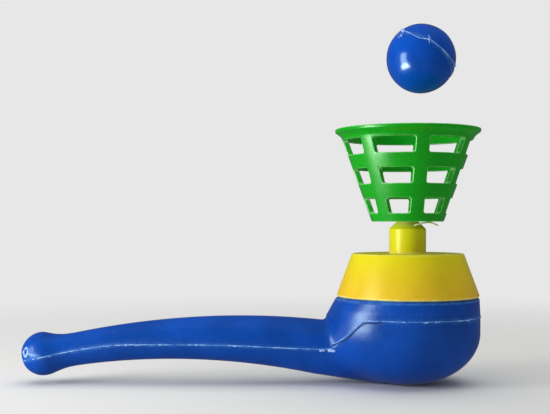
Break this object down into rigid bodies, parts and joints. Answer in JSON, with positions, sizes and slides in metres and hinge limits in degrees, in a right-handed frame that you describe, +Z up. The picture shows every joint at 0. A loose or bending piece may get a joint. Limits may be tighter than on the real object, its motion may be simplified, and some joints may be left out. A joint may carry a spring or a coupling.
{
  "type": "floating ball pipe toy",
  "caption": "Toy blow pipe: air blown through a hollow stem lifts a light ball out of a lattice basket on top of the bowl.",
  "frame": {"origin": "middle of the small flat under the bowl, on the bowl's axis", "axes": "+Z up the bowl's axis along the air jet, -X along the stem towards the mouthpiece, +Y across the pipe, away from the viewer of the picture"},
  "size_m": [0.1601, 0.0506, 0.1255],
  "materials": {
    "blue_plastic": "blow-moulded, glossy with a faint orange peel and a pale parting line",
    "yellow_plastic": "injection-moulded, satin gloss, slightly translucent",
    "green_plastic": "injection-moulded, satin gloss",
    "ball_plastic": "thin-walled, glossy, with a pale moulding seam"
  },
  "bodies": {
    "pipe": {"pipe_body": "blue_plastic", "nozzle_cap": "yellow_plastic"},
    "basket": {"ball_basket": "green_plastic"},
    "ball": {"ball": "ball_plastic"}
  },
  "joints": [
    {"name": "basket_turn", "type": "hinge", "parent": "pipe", "child": "basket", "pos_m": [0, 0, 0.0564], "axis": [0, 0, 1], "continuous": true},
    {"name": "ball_float", "type": "slide", "parent": "pipe", "child": "ball", "axis": [0.1083, 0, 0.9941], "range_m": [-0.0432, 0.04]}
  ]
}
